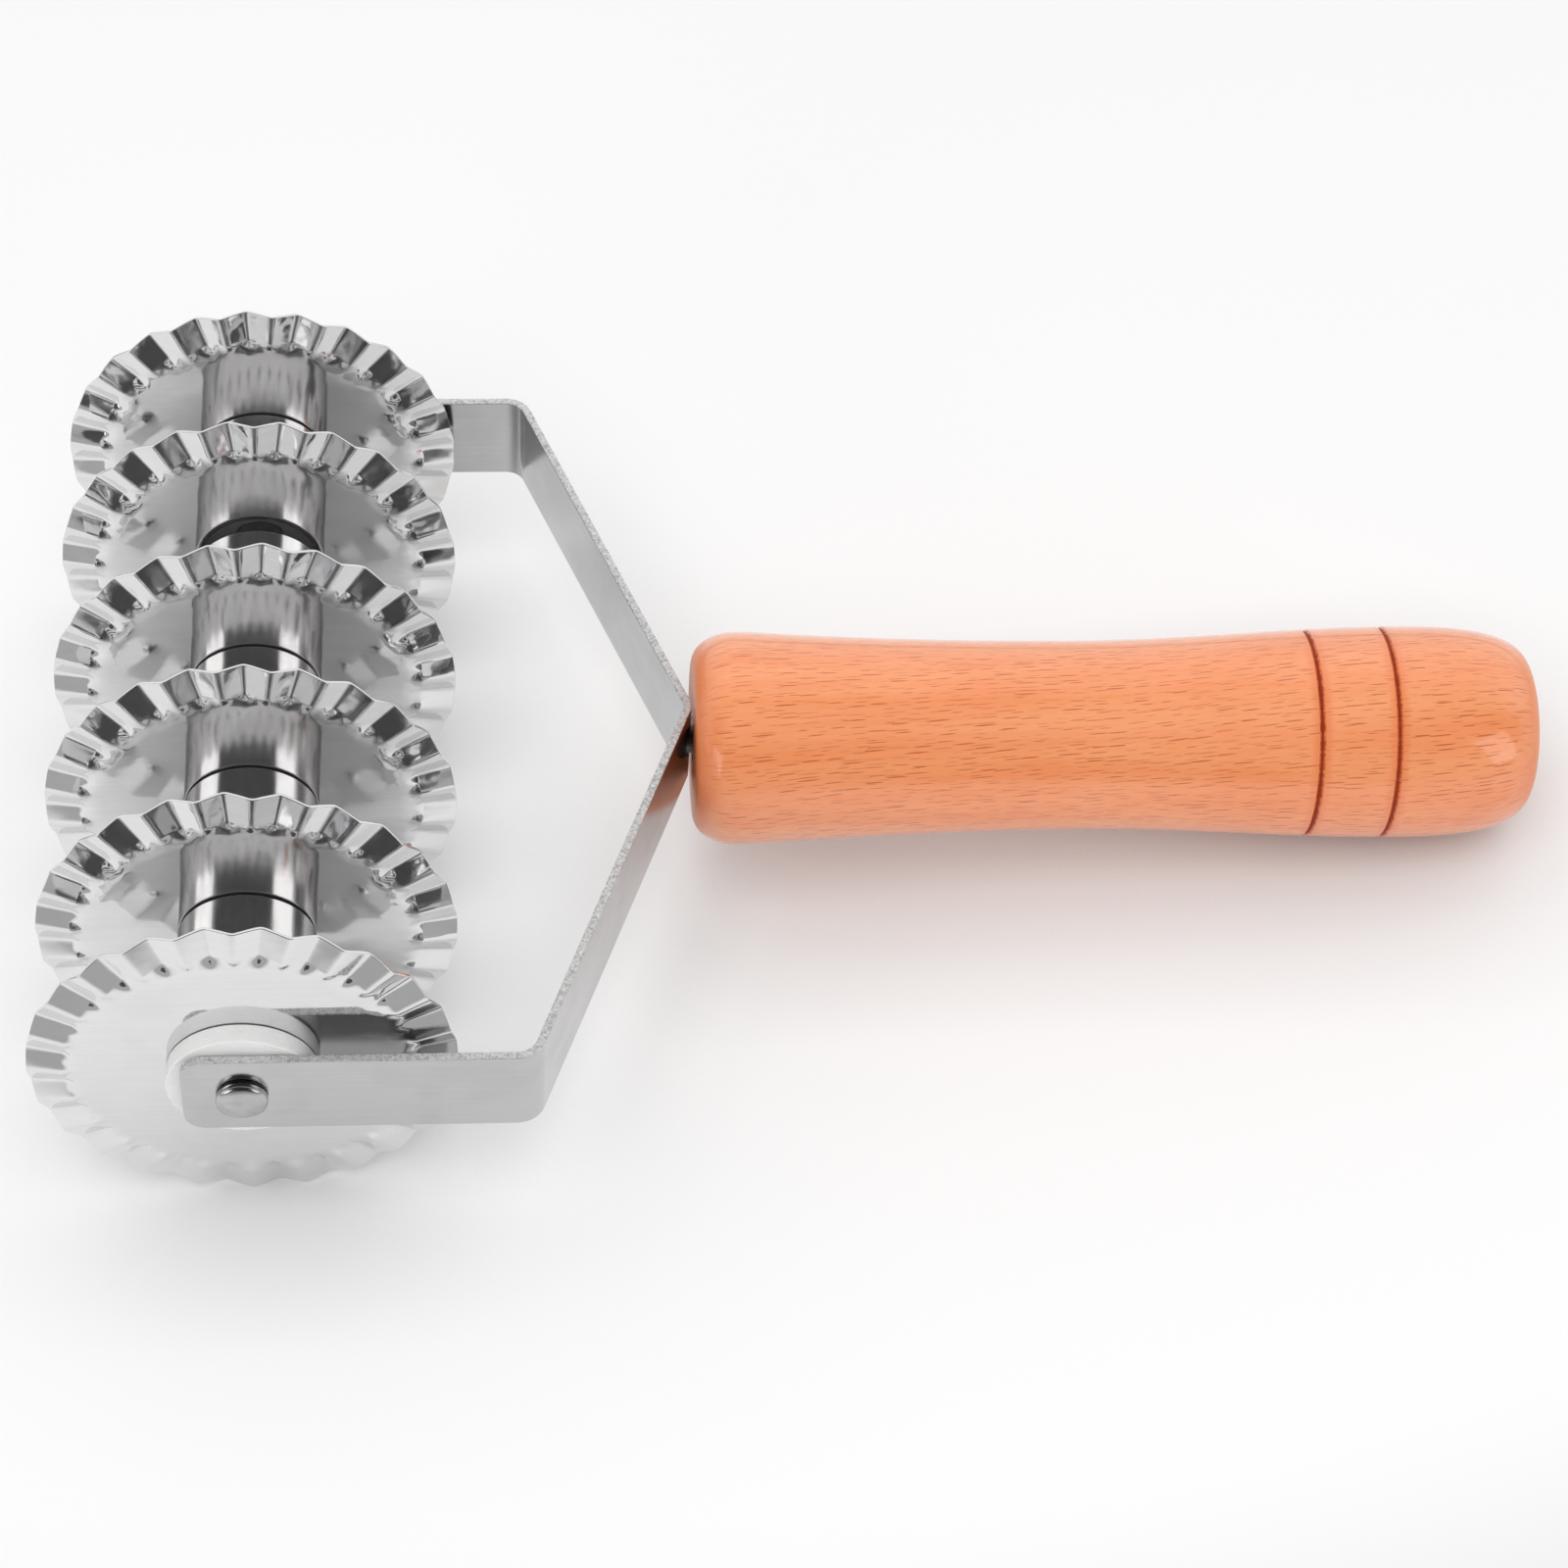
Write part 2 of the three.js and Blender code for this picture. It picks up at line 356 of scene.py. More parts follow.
@dataclass
class NodeBoard:
    """Short ways to lay out shader nodes in one tree."""

    tree: Tree

    def add(self, kind: str, inputs: dict | None = None, **settings: object) -> Node:
        """Add a node.

        Args:
            kind: Blender's name of the node type.
            inputs: Values or sockets for the node's inputs, by name or number.
            settings: The node's own properties.

        Returns:
            The new node.
        """
        node = self.tree.nodes.new(kind)
        for key, value in settings.items():
            setattr(node, key, value)
        for key, value in (inputs or {}).items():
            self.feed(value, node.inputs[key])
        return node

    def feed(self, value: object, socket: Socket) -> None:
        """Link a socket to an input, or set the input's value.

        Args:
            value: A socket to link, or a plain value.
            socket: The input that takes it.
        """
        if isinstance(value, Socket):
            self.tree.links.new(value, socket)
        else:
            socket.default_value = value

    def calc(self, operation: str, first: object, second: object = 0.0, third: object = 0.0) -> Socket:
        """Add a math node and return its result."""
        return self.add("ShaderNodeMath", {0: first, 1: second, 2: third}, operation=operation).outputs[0]

    def span(self, value: Socket, low: float, high: float, start: float = 0.0, end: float = 1.0) -> Socket:
        """Map the values from low to high softly onto those from start to end."""
        inputs = {0: value, 1: low, 2: high, 3: start, 4: end}
        return self.add("ShaderNodeMapRange", inputs, interpolation_type="SMOOTHSTEP").outputs[0]

    def stretch(self, vector: Socket, factors: object) -> Socket:
        """Scale a vector by a factor for each axis."""
        return self.add("ShaderNodeVectorMath", {0: vector, 1: factors}, operation="MULTIPLY").outputs[0]

    def offset(self, vector: Socket, start: object) -> Socket:
        """Work out the way from a start to a place."""
        return self.add("ShaderNodeVectorMath", {0: vector, 1: start}, operation="SUBTRACT").outputs[0]

    def length(self, vector: Socket) -> Socket:
        """Work out a vector's length."""
        return self.add("ShaderNodeVectorMath", {0: vector}, operation="LENGTH").outputs["Value"]

    def total(self, *shares: tuple[Socket, float]) -> Socket:
        """Add up values, each times its share.

        Args:
            shares: Pairs of a value and its share.

        Returns:
            The sum.
        """
        result: object = 0.0
        for value, share in shares:
            result = self.calc("MULTIPLY_ADD", value, share, result)
        return result

    def noise(self, vector: Socket, scale: object, detail: float, rough: float = 0.5) -> Socket:
        """Add a noise texture and return its value."""
        inputs = {"Vector": vector, "Scale": scale, "Detail": detail, "Roughness": rough}
        return self.add("ShaderNodeTexNoise", inputs).outputs[0]

    def blend(self, factor: object, first: object, second: object) -> Socket:
        """Mix two colours.

        Args:
            factor: Share of the second colour.
            first: First colour, as a socket or a triple.
            second: Second colour, as a socket or a triple.

        Returns:
            The mixed colour.
        """
        def whole(colour: object) -> object:
            """Add the alpha that a colour input wants."""
            return (*colour, 1.0) if isinstance(colour, tuple) else colour

        inputs = {0: factor, 6: whole(first), 7: whole(second)}
        return self.add("ShaderNodeMix", inputs, data_type="RGBA").outputs[2]


class Effects:
    """Shader node groups that several finishes share, and the values at which their marks start and end."""

    STREAKS: Pair = (0.3, 0.7)
    STREAK_NOISE: Pair = (6.0, 0.65)
    LINES: Pair = (0.6, 0.72)
    LINE_SCALE: float = 2.7
    LINE_DETAIL: float = 2.0
    DASH_SHORTENING: Pair = (0.75, 1.7)
    DASH_EDGE: Pair = (0.3, 0.55)
    FAINTEST_DASH: float = 0.35
    SMUDGES: Pair = (0.42, 0.68)
    SMUDGE_NOISE: Pair = (3.0, 0.6)
    SPECKS: Pair = (0.72, 0.78)
    SPECK_SCALE: float = 9.0
    RIPPLE_SCALE: float = 1.6

    @staticmethod
    def group(name: str, takes: dict[str, str], gives: list[str]) -> tuple[NodeBoard, Sockets, Sockets]:
        """Start a node group.

        Args:
            name: The group's name.
            takes: Input names with their socket types.
            gives: Names of the value outputs.

        Returns:
            The group's board, its inputs as sockets, and its output sockets by name.
        """
        tree = bpy.data.node_groups.new(name, "ShaderNodeTree")
        for title, kind in takes.items():
            tree.interface.new_socket(title, in_out="INPUT", socket_type=kind)
        for title in gives:
            tree.interface.new_socket(title, in_out="OUTPUT", socket_type="NodeSocketFloat")
        board = NodeBoard(tree)
        start = board.add("NodeGroupInput")
        end = board.add("NodeGroupOutput")
        return board, {t: start.outputs[t] for t in takes}, {t: end.inputs[t] for t in gives}

    @staticmethod
    @cache
    def drawn_grain() -> Tree:
        """Build the streaks that rolling, turning or growth leaves along one direction.

        Returns:
            The node group.
        """
        takes = {"Vector": "NodeSocketVector", "Stretch": "NodeSocketVector"}
        board, taken, given = Effects.group("drawn_grain", takes, ["Streaks", "Lines"])
        drawn = board.stretch(taken["Vector"], taken["Stretch"])
        broad = board.noise(drawn, 1.0, *Effects.STREAK_NOISE)
        board.feed(board.span(broad, *Effects.STREAKS), given["Streaks"])
        fine = board.noise(drawn, Effects.LINE_SCALE, Effects.LINE_DETAIL)
        board.feed(board.span(fine, *Effects.LINES), given["Lines"])
        return board.tree

    @staticmethod
    @cache
    def ray_flecks() -> Tree:
        """Build the short thin dashes that a wood's rays leave along its grain.

        Returns:
            The node group.
        """
        takes = {"Vector": "NodeSocketVector", "Stretch": "NodeSocketVector", "Slim": "NodeSocketVector"}
        board, taken, given = Effects.group("ray_flecks", takes, ["Dashes"])
        drawn = board.stretch(taken["Vector"], taken["Stretch"])
        inputs = {"Vector": drawn, "Scale": 1.0}
        cells = board.add("ShaderNodeTexVoronoi", inputs, voronoi_dimensions="2D").outputs
        chance = board.add("ShaderNodeSeparateColor", {0: cells["Color"]}).outputs
        slim = board.stretch(board.offset(drawn, cells["Position"]), taken["Slim"])
        shortening = board.span(chance[0], 0.0, 1.0, *Effects.DASH_SHORTENING)
        away = board.calc("MULTIPLY", board.length(slim), shortening)
        dash = board.span(away, *Effects.DASH_EDGE, 1.0, 0.0)
        strength = board.span(chance[1], 0.0, 1.0, Effects.FAINTEST_DASH, 1.0)
        board.feed(board.calc("MULTIPLY", dash, strength), given["Dashes"])
        return board.tree

    @staticmethod
    @cache
    def handling_marks() -> Tree:
        """Build the smudges, specks and slight ripples of a used surface.

        Returns:
            The node group.
        """
        takes = {"Vector": "NodeSocketVector", "Scale": "NodeSocketFloat"}
        board, taken, given = Effects.group("handling_marks", takes, ["Smudges", "Specks", "Ripples"])
        wide = board.noise(taken["Vector"], taken["Scale"], *Effects.SMUDGE_NOISE)
        board.feed(board.span(wide, *Effects.SMUDGES), given["Smudges"])
        dotted = board.calc("MULTIPLY", taken["Scale"], Effects.SPECK_SCALE)
        dots = board.noise(taken["Vector"], dotted, 1.0)
        board.feed(board.span(dots, *Effects.SPECKS), given["Specks"])
        rolling = board.calc("MULTIPLY", taken["Scale"], Effects.RIPPLE_SCALE)
        board.feed(board.noise(taken["Vector"], rolling, 1.0), given["Ripples"])
        return board.tree


@dataclass(frozen=True)
class Finish:
    """What every finish shares: its name and the tool frame that its pattern lies in."""

    name: str
    placement: Placement

    def start(self) -> tuple[Material, NodeBoard, Node, Socket]:
        """Start a material whose pattern lies in the tool's own frame, in millimetres.

        Returns:
            The material, its board, its shader node and the pattern's coordinates.
        """
        material = bpy.data.materials.new(self.name)
        material.use_nodes = True
        board = NodeBoard(material.node_tree)
        shader = material.node_tree.nodes["Principled BSDF"]
        place = board.add("ShaderNodeTexCoord").outputs["Object"]
        inputs = {
            "Vector": place,
            "Location": self.placement.axle,
            "Rotation": (0.0, self.placement.tilt, 0.0),
            "Scale": (MM, MM, MM),
        }
        own = board.add("ShaderNodeMapping", inputs, vector_type="TEXTURE").outputs[0]
        return material, board, shader, own

    @staticmethod
    def effect(board: NodeBoard, tree: Tree, inputs: dict) -> Sockets:
        """Place a shared node group and return its outputs by name."""
        node = board.add("ShaderNodeGroup", inputs, node_tree=tree)
        return {socket.name: socket for socket in node.outputs}

    @staticmethod
    def emboss(board: NodeBoard, shader: Node, height: Socket, reach: float) -> None:
        """Raise the surface by a height, which counts 1 as a reach in millimetres."""
        bump = board.add("ShaderNodeBump", {"Height": height, "Distance": reach * MM})
        board.feed(bump.outputs[0], shader.inputs["Normal"])


@dataclass(frozen=True)
class Steel(Finish):
    """Stainless steel, from mirror polish to a rough shear cut.

    Its tone and roughness run from bright to dull with its streaks and smudges. Stretch draws out the
    streaks, marks scales the smudges and the ripples, and ripple is the ripples' height. Haze is the share
    that isn't bare metal, and rim is how bright the steel stays where it is seen edge-on.
    """

    bright: Colour
    dull: Colour
    roughness: Pair
    stretch: Triple
    marks: float
    ripple: float
    scratch: float = 0.0
    haze: float = 0.0
    rim: float = 1.0
    streak_share: float = 0.5
    smudge_share: float = 0.5
    speck_share: float = 0.25

    def material(self) -> Material:
        """Build the steel from its grain, its marks and its ripples.

        Returns:
            The material.
        """
        material, board, shader, own = self.start()
        grain = self.effect(board, Effects.drawn_grain(), {"Vector": own, "Stretch": self.stretch})
        marks = self.effect(board, Effects.handling_marks(), {"Vector": own, "Scale": self.marks})
        worn = board.total((grain["Streaks"], self.streak_share), (marks["Smudges"], self.smudge_share))
        tint = board.blend(worn, self.bright, self.dull)
        tint = board.blend(board.calc("MULTIPLY", marks["Specks"], self.speck_share), tint, self.dull)
        board.feed(tint, shader.inputs["Base Color"])
        board.feed(board.span(worn, 0.0, 1.0, *self.roughness), shader.inputs["Roughness"])
        shader.inputs["Metallic"].default_value = 1.0 - self.haze
        shader.inputs["Specular Tint"].default_value = (self.rim, self.rim, self.rim, 1.0)
        height = board.calc("MULTIPLY_ADD", grain["Streaks"], self.scratch, marks["Ripples"])
        self.emboss(board, shader, self.relief(board, own, height), self.ripple)
        return material

    def relief(self, board: NodeBoard, own: Socket, height: Socket) -> Socket:
        """Leave the surface's height as its ripples give it."""
        return height


@dataclass(frozen=True)
class PressedSteel(Steel):
    """Polished sheet that a press has drawn out of true round the roots of its flutes.

    The dents grow from none at drawn_from to their full share at drawn_to, both measured from the axle.
    """

    drawn_from: float = 15.0
    drawn_to: float = 22.0
    drawn: float = 0.9
    dent_scale: float = 0.33

    def relief(self, board: NodeBoard, own: Socket, height: Socket) -> Socket:
        """Add the dents that fade from the flutes towards the axle.

        Args:
            board: The material's board.
            own: Coordinates in the tool's frame, in millimetres.
            height: Height of the plain sheet.

        Returns:
            Height of the pressed sheet.
        """
        away = board.length(board.stretch(own, (1.0, 0.0, 1.0)))
        near_flutes = board.span(away, self.drawn_from, self.drawn_to, 0.0, self.drawn)
        dents = board.noise(own, self.dent_scale, 1.0)
        return board.calc("MULTIPLY_ADD", dents, near_flutes, height)


@dataclass(frozen=True)
class Nylon(Finish):
    """White moulded nylon, slightly soft and dusty."""

    clean: Colour = (0.97, 0.97, 0.96)
    dusty: Colour = (0.87, 0.87, 0.85)
    roughness: Pair = (0.38, 0.55)
    soft: float = 0.12
    dust_scale: float = 0.35
    skin: Triple = (1.6, 1.6, 1.6)
    skin_height: float = 0.03
    line_share: float = 0.35
    smudge_share: float = 0.4

    def material(self) -> Material:
        """Build the nylon from its dust and its moulded skin.

        Returns:
            The material.
        """
        material, board, shader, own = self.start()
        marks = self.effect(board, Effects.handling_marks(), {"Vector": own, "Scale": self.dust_scale})
        grain = self.effect(board, Effects.drawn_grain(), {"Vector": own, "Stretch": self.skin})
        dust = board.total((marks["Smudges"], self.smudge_share), (grain["Lines"], self.line_share))
        board.feed(board.blend(dust, self.clean, self.dusty), shader.inputs["Base Color"])
        board.feed(board.span(grain["Streaks"], 0.0, 1.0, *self.roughness), shader.inputs["Roughness"])
        self.emboss(board, shader, grain["Streaks"], self.skin_height)
        shader.inputs["Subsurface Weight"].default_value = self.soft
        shader.inputs["Subsurface Scale"].default_value = MM
        return material


@dataclass(frozen=True)
class Beech(Finish):
    """Steamed beech under clear lacquer, with two burnt grooves.

    Grooves and ends are places along the handle, from the axle. The ray flecks lean and wave round its
    girth, and the nose and the tail show warmer end grain with hardly any flecks or lacquer.
    """

    grooves: tuple[float, ...]
    groove_width: float
    ends: Pair
    girth: float = 14.5
    pale: Colour = (0.98, 0.385, 0.17)
    warm: Colour = (0.9, 0.26, 0.085)
    fleck: Colour = (0.52, 0.1, 0.02)
    burnt: Colour = (0.36, 0.045, 0.006)
    halo: Colour = (0.84, 0.2, 0.055)
    end_grain: Colour = (0.74, 0.17, 0.045)
    slope: float = math.radians(-3.5)
    lean: float = 0.075
    wave: float = 2.4
    wave_stretch: Triple = (0.025, 0.06, 0.06)
    growth_stretch: Triple = (0.006, 0.11, 0.16)
    fibre_stretch: Triple = (0.05, 1.9, 1.9)
    fleck_stretch: Triple = (0.32, 1.4, 0.0)
    fleck_slim: Triple = (1.0, 4.2, 0.0)
    smudge_scale: float = 0.06
    growth_share: float = 0.6
    fibre_share: float = 0.25
    smudge_share: float = 0.15
    fleck_share: float = 0.9
    nose_fade: Pair = (0.3, 2.5)
    tail_fade: Pair = (4.0, 0.8)
    faded: float = 0.1
    end_depth: float = 5.0
    nose_tint: float = 0.5
    tail_tint: float = 0.4
    scorch_wobble: float = 0.25
    scorch_edge: Pair = (0.5, 1.2)
    halo_reach: float = 4.0
    halo_share: float = 0.6
    rough_wood: float = 0.36
    rough_fibres: float = 0.1
    rough_burn: float = 0.25
    rough_lacquer: float = 0.1
    fleck_height: float = -0.6
    fibre_height: float = 0.4
    relief: float = 0.03

    def laid_round(self, board: NodeBoard, own: Socket) -> Socket:
        """Lay coordinates along and round the handle, in millimetres, with the grain's lean and waves.

        Args:
            board: The material's board.
            own: Coordinates in the tool's frame, in millimetres.

        Returns:
            The laid coordinates.
        """
        along, across, up = board.add("ShaderNodeSeparateXYZ", {0: own}).outputs
        round_it = board.calc("MULTIPLY", board.calc("ARCTAN2", across, up), self.girth)
        waves = board.noise(board.stretch(own, self.wave_stretch), 1.0, 1.0)
        leaning = board.calc("MULTIPLY_ADD", along, -self.lean, round_it)
        leaning = board.calc("MULTIPLY_ADD", waves, self.wave, leaning)
        return board.add("ShaderNodeCombineXYZ", {0: along, 1: leaning}).outputs[0]

    def end_masks(self, board: NodeBoard, along: Socket) -> tuple[Socket, Socket]:
        """Mark where the grain runs along the surface and where it ends in it.

        Args:
            board: The material's board.
            along: Place along the handle in millimetres.

        Returns:
            The mask of the sides and the mask of the end grain.
        """
        nose, tail = self.ends
        past_nose = board.span(along, nose + self.nose_fade[0], nose + self.nose_fade[1], self.faded, 1.0)
        before_tail = board.span(along, tail - self.tail_fade[0], tail - self.tail_fade[1], 1.0, self.faded)
        at_nose = board.span(along, nose, nose + self.end_depth, self.nose_tint, 0.0)
        at_tail = board.span(along, tail - self.end_depth, tail, 0.0, self.tail_tint)
        return board.calc("MULTIPLY", past_nose, before_tail), board.calc("MAXIMUM", at_nose, at_tail)

    def burnt_masks(self, board: NodeBoard, along: Socket, fibres: Socket) -> tuple[Socket, Socket]:
        """Mark the burnt grooves and the warm band beside each.

        Args:
            board: The material's board.
            along: Place along the handle in millimetres.
            fibres: Streaks that make the burnt edge uneven.

        Returns:
            The mask of the burn and the mask of its halo.
        """
        away = [board.calc("ABSOLUTE", board.calc("SUBTRACT", along, groove)) for groove in self.grooves]
        nearest = board.calc("MINIMUM", away[0], away[1])
        uneven = board.calc("MULTIPLY_ADD", fibres, self.scorch_wobble, nearest)
        edge = self.groove_width / 2
        scorch = board.span(uneven, edge * self.scorch_edge[0], edge * self.scorch_edge[1], 1.0, 0.0)
        return scorch, board.span(uneven, edge, edge * self.halo_reach, self.halo_share, 0.0)

    def material(self) -> Material:
        """Build the wood from growth bands, fibres, ray flecks and the burnt grooves.

        Returns:
            The material.
        """
        material, board, shader, own = self.start()
        turn = {"Vector": own, "Rotation": (0.0, 0.0, self.slope)}
        sloped = board.add("ShaderNodeMapping", turn).outputs[0]
        grain = Effects.drawn_grain()
        growth = self.effect(board, grain, {"Vector": sloped, "Stretch": self.growth_stretch})["Streaks"]
        fibres = self.effect(board, grain, {"Vector": sloped, "Stretch": self.fibre_stretch})["Streaks"]
        laid = self.laid_round(board, own)
        rays = {"Vector": laid, "Stretch": self.fleck_stretch, "Slim": self.fleck_slim}
        flecks = self.effect(board, Effects.ray_flecks(), rays)["Dashes"]
        marks = self.effect(board, Effects.handling_marks(), {"Vector": own, "Scale": self.smudge_scale})
        along = board.add("ShaderNodeSeparateXYZ", {0: own}).outputs[0]
        sides, end_grain = self.end_masks(board, along)
        scorch, halo = self.burnt_masks(board, along, fibres)

        share = board.total(
            (fibres, self.fibre_share), (growth, self.growth_share), (marks["Smudges"], self.smudge_share)
        )
        dashes = board.calc("MULTIPLY", flecks, sides)
        wood = board.blend(share, self.pale, self.warm)
        wood = board.blend(board.calc("MULTIPLY", dashes, self.fleck_share), wood, self.fleck)
        wood = board.blend(end_grain, wood, self.end_grain)
        wood = board.blend(halo, wood, self.halo)
        wood = board.blend(scorch, wood, self.burnt)
        board.feed(wood, shader.inputs["Base Color"])

        rough = board.calc("MULTIPLY_ADD", fibres, self.rough_fibres, self.rough_wood)
        board.feed(board.calc("MULTIPLY_ADD", scorch, self.rough_burn, rough), shader.inputs["Roughness"])
        lacquer = board.calc("MULTIPLY", board.span(scorch, 0.0, 1.0, 1.0, 0.0), sides)
        board.feed(lacquer, shader.inputs["Coat Weight"])
        shader.inputs["Coat Roughness"].default_value = self.rough_lacquer
        height = board.total((fibres, self.fibre_height), (dashes, self.fleck_height))
        self.emboss(board, shader, height, self.relief)
        return material


@dataclass
class CuttingWheels:
    """Six pressed steel wheels with fluted, slightly dished rims.

    The flutes start at root and reach their full height after run_in. Crest makes them pointed where it is
    near 1, and pinch draws in their roots. Each wheel is turned a little from the next.
    """

    placement: Placement
    count: int = 6
    bore: float = 3.3
    radius: float = 28.88
    sheet: float = 0.46
    flutes: int = 24
    steps: int = 24
    root: float = 22.1
    disc_rings: tuple[float, ...] = (0.35, 0.7, 0.93)
    run_in: float = 2.2
    run_in_steps: int = 5
    flute_height: float = 0.6
    dish: float = 1.0
    crest: float = 0.97
    pinch: float = 1.6
    turn: float = math.radians(4.0)
    edge: float = 0.1
    edge_steps: int = 2
    sharp: float = 50.0

    def rings(self) -> list[float]:
        """List the wheel's rings from the bore outwards.

        Returns:
            Their radii in millimetres.
        """
        disc = [self.bore + (self.root - self.bore) * share for share in self.disc_rings]
        steps = range(self.run_in_steps + 1)
        run_in = [self.root + self.run_in * (step / self.run_in_steps) for step in steps]
        return [*disc, *run_in, (run_in[-1] + self.radius) / 2, self.radius]

    def push(self, radius: float, step: int) -> float:
        """Work out how far a point of the rim is pressed along the axle.

        Args:
            radius: The point's distance from the axle in millimetres.
            step: The point's place within one flute.

        Returns:
            The push in millimetres, towards the far side.
        """
        out = radius - self.root
        depth = min(1.0, max(0.0, out / self.run_in))
        depth = depth * depth * (3.0 - 2.0 * depth)
        wave = math.asin(self.crest * math.cos(math.tau * step / self.steps)) / math.asin(self.crest)
        wave = math.copysign(abs(wave) ** (1.0 + self.pinch * (1.0 - depth)), wave)
        return self.dish * max(0.0, out) / (self.radius - self.root) - self.flute_height * depth * wave

    def model(self) -> Piece:
        """Model one wheel about the axle's middle.

        Returns:
            The wheel.
        """
        sides = self.flutes * self.steps
        wheel = Bench.ring("cutting_wheel", sides, self.bore * MM, Axis.AXLE, ORIGIN, False)
        with Bench.editing(wheel, Part.POINT):
            bpy.ops.mesh.select_all(action="SELECT")
            last = self.bore
            for radius in self.rings():
                Bench.pull()
                Bench.widen((radius / last, 1.0, radius / last))
                last = radius
            for radius in [r for r in self.rings() if r > self.root]:
                for step in range(self.steps):
                    Bench.pick(wheel, Part.POINT, lambda spot, _: self.on_ring(spot, radius, step))
                    bpy.ops.transform.translate(value=(0.0, self.push(radius, step) * MM, 0.0))
        Bench.face_outwards(wheel)
        Bench.apply(wheel, "SOLIDIFY", thickness=self.sheet * MM, offset=0.0)
        Bench.round_edges(wheel, self.edge * MM, self.edge_steps, self.sharp)
        Bench.smooth(wheel, self.sharp)
        return wheel

    def on_ring(self, spot: Vector, radius: float, step: int) -> bool:
        """Tell whether a point lies on one ring, at one step of a flute.

        Args:
            spot: The point in metres.
            radius: The ring's radius in millimetres.
            step: The step within a flute.

        Returns:
            Whether it lies there.
        """
        if abs(math.hypot(spot.x, spot.z) - radius * MM) > SNAP:
            return False
        place = math.atan2(spot.x, spot.z) / math.tau * self.flutes * self.steps
        return round(place) % self.steps == step

    def build(self, steel: Material) -> list[Piece]:
        """Copy the wheel along the axle and dress it.

        Args:
            steel: The wheels' material.

        Returns:
            The wheels.
        """
        first = self.model()
        first.data.materials.append(steel)
        pieces = [first] + [Bench.copy(first, "cutting_wheel") for _ in range(self.count - 1)]
        for number, piece in enumerate(pieces, 1):
            piece.name = piece.data.name = f"fluted_wheel_{number}"
            self.placement.seat(piece, f"wheel_{number}_spin", (self.count - number) * self.turn)
            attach(piece, f"wheel_{number}")
            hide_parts(f"cutting_wheel_{number}")
        return pieces


@dataclass
class Sleeve:
    """A turned or moulded sleeve round the axle."""

    name: str
    radius: float
    bore: float
    length: float
    edge: float
    steps: int
    sides: int = 96
    eased_over: float = 40.0
    sharp: float = 50.0

    def model(self) -> Piece:
        """Model the sleeve about the axle's middle.

        Returns:
            The sleeve.
        """
        sleeve = Bench.rod(self.name, self.sides, self.radius * MM, self.length * MM, Axis.AXLE, ORIGIN)
        with Bench.editing(sleeve, Part.FACE):
            Bench.pick(sleeve, Part.FACE, lambda _, facing: abs(facing.y) > SQUARE_ON)
            bpy.ops.mesh.inset(thickness=(self.radius - self.bore) * MM)
            bpy.ops.mesh.bridge_edge_loops()
        Bench.face_outwards(sleeve)
        Bench.round_edges(sleeve, self.edge * MM, self.steps, self.eased_over)
        Bench.smooth(sleeve, self.sharp)
        return sleeve


@dataclass
class SpacerTubes:
    """Five polished tubes between the wheels, with their hidden nylon cores."""

    placement: Placement
    count: int = 5
    radius: float = 9.5
    wall: float = 1.0
    length: float = 21.44
    edge: float = 0.13
    edge_steps: int = 2

    def build(self, steel: Material, nylon: Material) -> list[Piece]:
        """Copy the tube along the axle and dress tubes and cores.

        Args:
            steel: The tubes' material.
            nylon: The cores' material.

        Returns:
            The tubes.
        """
        bore = self.radius - self.wall
        first = Sleeve("tube", self.radius, bore, self.length, self.edge, self.edge_steps).model()
        first.data.materials.append(steel)
        pieces = [first] + [Bench.copy(first, "tube") for _ in range(self.count - 1)]
        for number, piece in enumerate(pieces, 1):
            piece.name = piece.data.name = f"polished_tube_{number}"
            self.placement.seat(piece, f"spacer_{number}_spin")
            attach(piece, f"spacer_{number}")
            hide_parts(f"spacer_tube_{number}")
            frame["nodes"][f"spacer_core_{number}"].material_slots[0].material = nylon
        return pieces


@dataclass
class EndBushes:
    """A white bush between each arm and its wheel."""

    placement: Placement
    radius: float = 10.25
    bore: float = 3.3
    length: float = 2.6
    reach: float = 0.26
    edge: float = 0.12
    edge_steps: int = 3

    def build(self, nylon: Material) -> list[Piece]:
        """Place a bush at each end of the stack and dress it.

        Args:
            nylon: The bushes' material.

        Returns:
            The bushes.
        """
        length = self.length + self.reach
        first = Sleeve("bush", self.radius, self.bore, length, self.edge, self.edge_steps).model()
        first.data.materials.append(nylon)
        pieces = {StackEnd.FAR: first, StackEnd.NEAR: Bench.copy(first, "bush")}
        for end, piece in pieces.items():
            piece.name = piece.data.name = f"white_bush_{end.value}"
            towards_wheel = self.reach / 2 if end is StackEnd.NEAR else -self.reach / 2
            self.placement.seat(piece, f"bush_{end.value}_spin", nudge=towards_wheel)
            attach(piece, f"bush_{end.value}")
            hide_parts(f"end_bush_{end.value}")
        return list(pieces.values())


